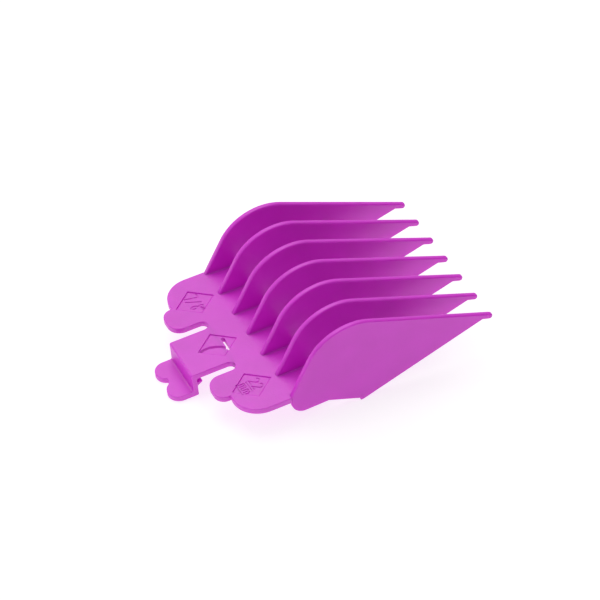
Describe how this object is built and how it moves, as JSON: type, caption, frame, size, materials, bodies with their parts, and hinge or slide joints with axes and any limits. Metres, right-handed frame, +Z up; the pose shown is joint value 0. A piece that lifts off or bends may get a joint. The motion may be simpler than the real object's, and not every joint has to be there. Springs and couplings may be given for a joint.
{
  "type": "clipper guide comb",
  "caption": "Slide-on guide comb for a hair clipper: curved parallel teeth on a flat plate with side rails, blade stops, ears and a flexing latch with a thumb tab.",
  "frame": {"origin": "middle of the comb's outline in plan, on the table that it stands on", "axes": "+X to the right across the teeth, +Y towards the tooth tips, +Z up from the table; the plate rises about 4 degrees towards the tips, as the comb rests on its blade stops and thumb tab"},
  "size_m": [0.0506, 0.0764, 0.0247],
  "materials": {
    "comb_plastic": "satin moulded plastic, slightly translucent, magenta"
  },
  "bodies": {
    "comb": {"base_plate": "comb_plastic", "left_ear": "comb_plastic", "right_ear": "comb_plastic", "left_rail": "comb_plastic", "right_rail": "comb_plastic", "tooth_1": "comb_plastic", "tooth_2": "comb_plastic", "tooth_3": "comb_plastic", "tooth_4": "comb_plastic", "tooth_5": "comb_plastic", "tooth_6": "comb_plastic", "tooth_7": "comb_plastic", "latch_flexure": "comb_plastic"},
    "latch": {"latch_tongue": "comb_plastic", "latch_riser": "comb_plastic", "latch_catch": "comb_plastic", "latch_thumb_tab": "comb_plastic"}
  },
  "joints": [
    {"name": "latch_flex", "type": "hinge", "parent": "comb", "child": "latch", "pos_m": [0, -0.02534, 0.00698], "axis": [1, 0, 0], "range_deg": [-10, 3], "stiffness_Nm_per_rad": 0.83, "deforming": ["latch_flexure"]}
  ]
}
